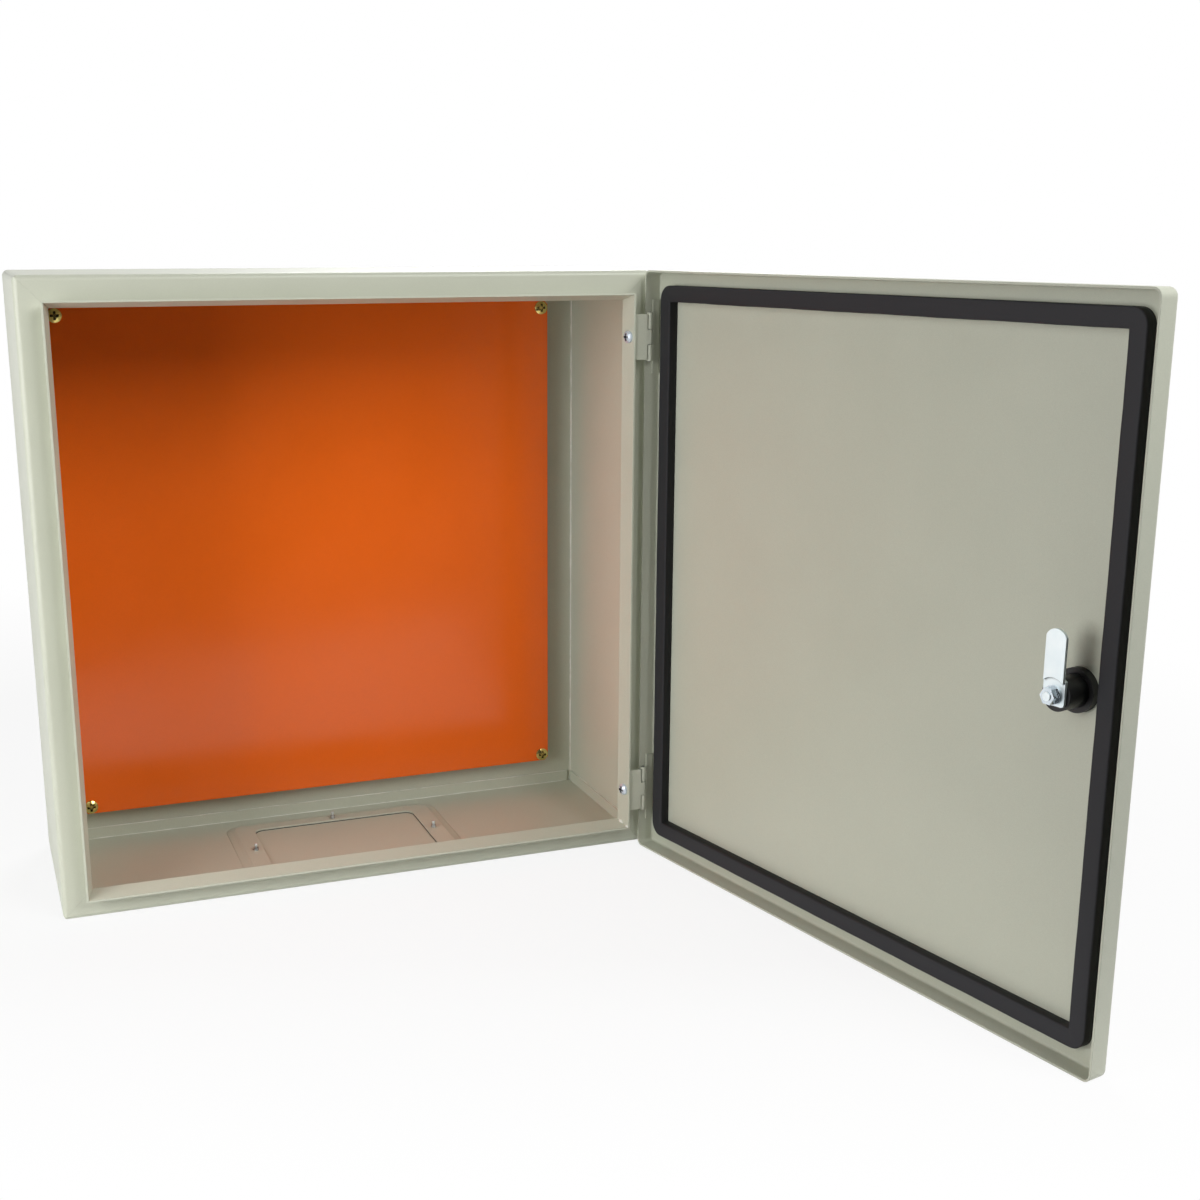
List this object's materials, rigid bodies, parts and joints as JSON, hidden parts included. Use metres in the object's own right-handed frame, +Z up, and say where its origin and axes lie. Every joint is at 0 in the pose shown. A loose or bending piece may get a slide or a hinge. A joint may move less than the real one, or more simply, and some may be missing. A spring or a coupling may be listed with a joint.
{
  "type": "control cabinet",
  "caption": "Wall-mounted sheet steel control cabinet with a hinged door standing open, foam door gasket, cam lock, mounting plate and gland plate in the floor.",
  "frame": {"origin": "middle of the four wall holes, on the outside of the back wall", "axes": "+Y points from the cabinet into the wall, -Y is the front, +Z is up and +X is the hinge side"},
  "size_m": [0.612, 0.6714, 0.5],
  "materials": {
    "body_paint": "satin pebble-grey powder coat with a fine texture",
    "plate_paint": "satin orange powder coat",
    "bright_zinc": "bright zinc plating",
    "yellow_zinc": "yellow passivated zinc plating",
    "pin_steel": "plain drawn steel",
    "gasket_foam": "dark foamed sealing strip with a skin",
    "seal_rubber": "black flat rubber",
    "lock_plastic": "black moulded plastic"
  },
  "bodies": {
    "cabinet": {"side_back_wrap": "body_paint", "top_panel": "body_paint", "bottom_panel": "body_paint", "mounting_plate": "plate_paint", "plate_standoffs": "bright_zinc", "plate_screws": "yellow_zinc", "gland_plate": "body_paint", "gland_seal": "seal_rubber", "gland_screws": "bright_zinc", "hinge_body_leaf_upper": "body_paint", "hinge_body_leaf_lower": "body_paint", "hinge_pin_upper": "pin_steel", "hinge_pin_lower": "pin_steel", "hinge_screws": "bright_zinc"},
    "door": {"door_panel": "body_paint", "door_gasket": "gasket_foam", "hinge_door_leaf_upper": "body_paint", "hinge_door_leaf_lower": "body_paint", "lock_housing": "lock_plastic", "lock_seal": "seal_rubber", "lock_nut": "lock_plastic"},
    "cam_lock": {"lock_plug": "bright_zinc", "cam": "bright_zinc", "cam_washer": "bright_zinc", "cam_nut": "bright_zinc"}
  },
  "joints": [
    {"name": "door_hinge", "type": "hinge", "parent": "cabinet", "child": "door", "pos_m": [0.2458, -0.186, 0], "axis": [0, 0, 1], "range_deg": [-102, 18]},
    {"name": "cam_turn", "type": "hinge", "parent": "door", "child": "cam_lock", "pos_m": [0.35175, -0.62435, 0.001], "axis": [0.9781, 0.2079, 0], "range_deg": [0, 90]}
  ]
}
